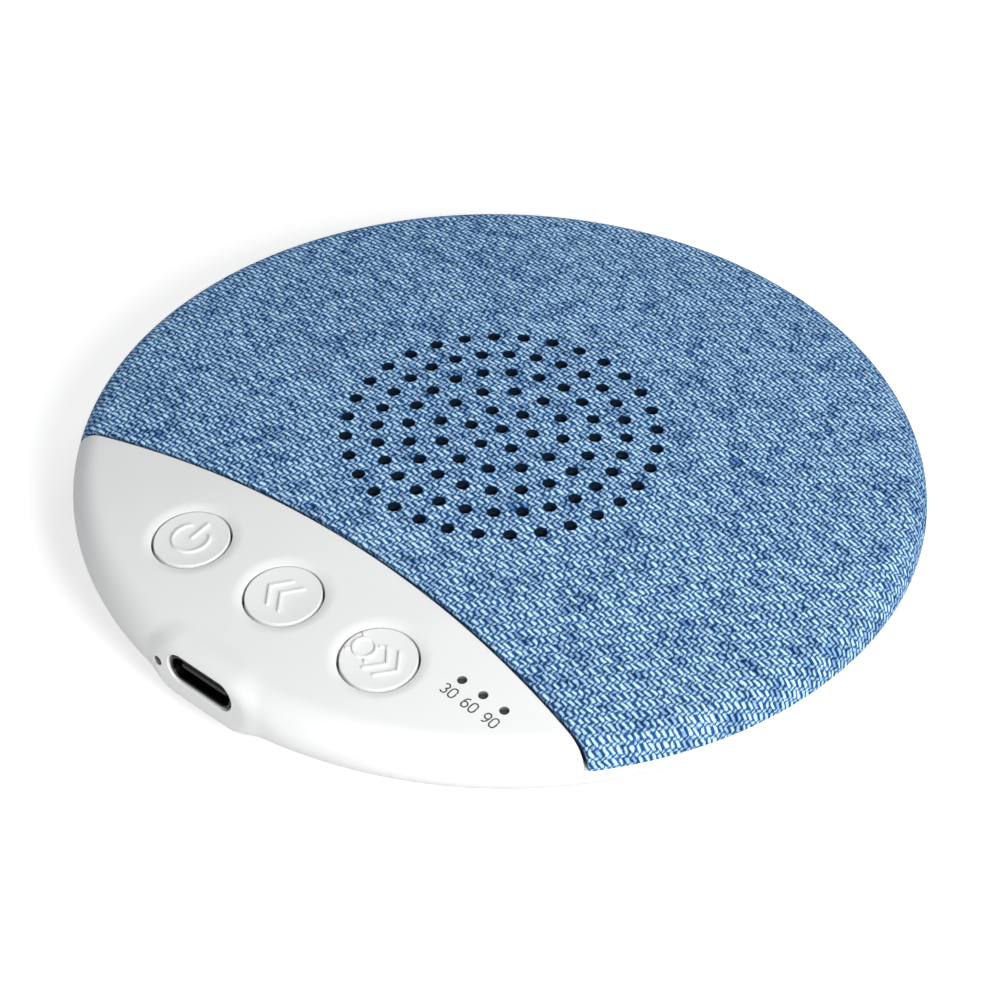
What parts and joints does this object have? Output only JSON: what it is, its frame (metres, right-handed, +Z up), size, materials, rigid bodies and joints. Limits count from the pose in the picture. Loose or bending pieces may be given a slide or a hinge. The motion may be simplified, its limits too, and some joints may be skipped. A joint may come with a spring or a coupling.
{
  "type": "pillow speaker",
  "caption": "Thin round wireless speaker that lies under a pillow, with a domed fabric grille, a white control deck with press buttons, sleep timer lights and a charging port in the rim.",
  "frame": {"origin": "on the axis of the round disc, on the surface that its rubber feet stand on", "axes": "+Z up through the domed fabric top; -Y to the front, where the charging port opens in the rim; +X to the right hand of someone facing the port"},
  "size_m": [0.094, 0.0934, 0.013],
  "materials": {
    "white_plastic": "fine satin moulded ABS",
    "cap_plastic": "smooth satin moulded ABS",
    "base_plastic": "fine spark-eroded texture",
    "fabric_blue": "light blue on navy twill weave",
    "grille_plastic": "matt moulded ABS",
    "rubber": "matt",
    "screw_steel": "zinc plated",
    "yoke_steel": "zinc plated",
    "magnet_nickel": "nickel plated",
    "basket_steel": "black paint on stamped steel",
    "cone_paper": "pressed paper",
    "surround_foam": "matt",
    "copper": "enamelled copper wire",
    "fibre_board": "pressed fibre board",
    "mesh_black": "fine polyester mesh",
    "clear_guide": "polished clear acrylic",
    "board_green": "solder mask",
    "chip_black": "moulded epoxy",
    "switch_black": "moulded nylon",
    "plunger_tan": "moulded nylon",
    "port_steel": "nickel plated",
    "tongue_black": "moulded liquid crystal polymer",
    "can_steel": "tinned",
    "can_gold": "gold plated",
    "led_resin": "clear resin",
    "ferrite": "sintered ferrite",
    "ceramic_tan": "fired ceramic",
    "socket_ivory": "moulded nylon",
    "pouch_foil": "laminated foil",
    "cell_film": "amber film over a small board",
    "tape_white": "double sided foam",
    "lead_red": "PVC insulation",
    "lead_black": "PVC insulation"
  },
  "bodies": {
    "case": {"housing": "white_plastic", "base_cover": "base_plastic", "base_screws": "screw_steel", "rubber_feet": "rubber", "grille_plate": "grille_plastic", "plate_screws": "screw_steel", "fabric_cover": "fabric_blue", "light_guide": "clear_guide", "basket": "basket_steel", "yoke": "yoke_steel", "magnet": "magnet_nickel", "pole_plate": "yoke_steel", "driver_gasket": "rubber", "driver_screws": "screw_steel", "terminal_strip": "fibre_board", "dust_mesh": "mesh_black", "surround": "surround_foam", "main_board": "board_green", "board_screws": "screw_steel", "switch_bodies": "switch_black", "port_shell": "port_steel", "port_tongue": "tongue_black", "microphone": "can_gold", "microphone_seal": "rubber", "timer_leds": "led_resin", "radio_module": "can_steel", "amplifier_chip": "chip_black", "charger_chip": "chip_black", "inductor": "ferrite", "capacitors": "ceramic_tan", "speaker_socket": "socket_ivory", "battery_socket": "socket_ivory", "battery_cell": "pouch_foil", "cell_board": "cell_film", "cell_tape": "tape_white", "battery_lead_plus": "lead_red", "battery_lead_minus": "lead_black", "speaker_lead_plus": "lead_red", "speaker_lead_minus": "lead_black"},
    "power_button": {"power_button": "cap_plastic", "power_plunger": "plunger_tan"},
    "back_button": {"back_button": "cap_plastic", "back_plunger": "plunger_tan"},
    "forward_button": {"forward_button": "cap_plastic", "forward_plunger": "plunger_tan"},
    "driver_cone": {"voice_coil": "copper", "cone": "cone_paper", "dust_cap": "cone_paper"}
  },
  "joints": [
    {"name": "power_button_press", "type": "slide", "parent": "case", "child": "power_button", "axis": [0, 0, -1], "range_m": [0, 0.00035], "stiffness_N_per_m": 400, "springref_m": -0.001},
    {"name": "back_button_press", "type": "slide", "parent": "case", "child": "back_button", "axis": [0, 0, -1], "range_m": [0, 0.00035], "stiffness_N_per_m": 400, "springref_m": -0.001},
    {"name": "forward_button_press", "type": "slide", "parent": "case", "child": "forward_button", "axis": [0, 0, -1], "range_m": [0, 0.00035], "stiffness_N_per_m": 400, "springref_m": -0.001},
    {"name": "cone_travel", "type": "slide", "parent": "case", "child": "driver_cone", "axis": [0, 0, 1], "range_m": [-0.0004, 0.0004], "stiffness_N_per_m": 900, "deforming": ["surround"]}
  ]
}
